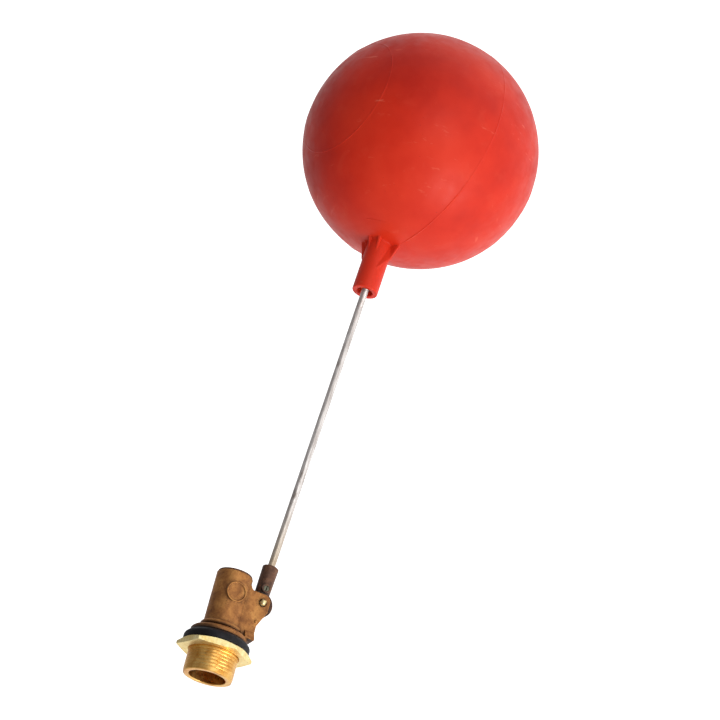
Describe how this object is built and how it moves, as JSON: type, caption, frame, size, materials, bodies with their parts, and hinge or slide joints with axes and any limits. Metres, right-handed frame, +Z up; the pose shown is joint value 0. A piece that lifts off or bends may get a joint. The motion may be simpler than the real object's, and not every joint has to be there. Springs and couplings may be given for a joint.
{
  "type": "float valve",
  "caption": "Brass piston float valve with a G1 threaded inlet tail, flange, tank washer and backnut, and a swinging rod carrying a hollow red ball float.",
  "frame": {"origin": "on the inlet axis at the first thread crest, at the open end of the threaded tail", "axes": "+X along the inlet axis from the tail through the tank wall into the tank, +Z up in use, the fulcrum pin parallel to Y"},
  "size_m": [0.5127, 0.17, 0.1699],
  "materials": {
    "cast_bronze": "as-cast copper-brown bronze, machined to golden brass on the tail",
    "bright_brass": "turned yellow brass",
    "dark_bronze": "dark brown tarnished bronze casting",
    "black_rubber": "matt black rubber",
    "fibre": "red-brown vulcanised fibre",
    "plated_steel": "zinc-plated drawn steel",
    "red_plastic": "satin orange-red moulded plastic"
  },
  "bodies": {
    "valve": {"valve_body": "cast_bronze", "tank_washer": "black_rubber", "backnut": "bright_brass", "inlet_seat": "bright_brass", "seat_gasket": "fibre", "cylinder_cap": "dark_bronze", "fulcrum_pin": "bright_brass"},
    "float_arm": {"lever_arm": "dark_bronze", "rod_set_screw": "plated_steel", "float_rod": "plated_steel", "float_shell": "red_plastic", "neck_insert": "bright_brass"},
    "piston": {"piston": "bright_brass", "disc_retainer": "bright_brass", "seat_disc": "black_rubber"}
  },
  "joints": [
    {"name": "arm_pivot", "type": "hinge", "parent": "valve", "child": "float_arm", "pos_m": [0.0582, 0, -0.0207], "axis": [0, 1, 0], "range_deg": [-3.5, 40.9]},
    {"name": "piston_slide", "type": "slide", "parent": "valve", "child": "piston", "axis": [1, 0, 0], "range_m": [-0.0009, 0.0103]}
  ],
  "couplings": [
    {"joint": "piston_slide", "follows": "arm_pivot", "m_per_rad": 0.0143}
  ]
}
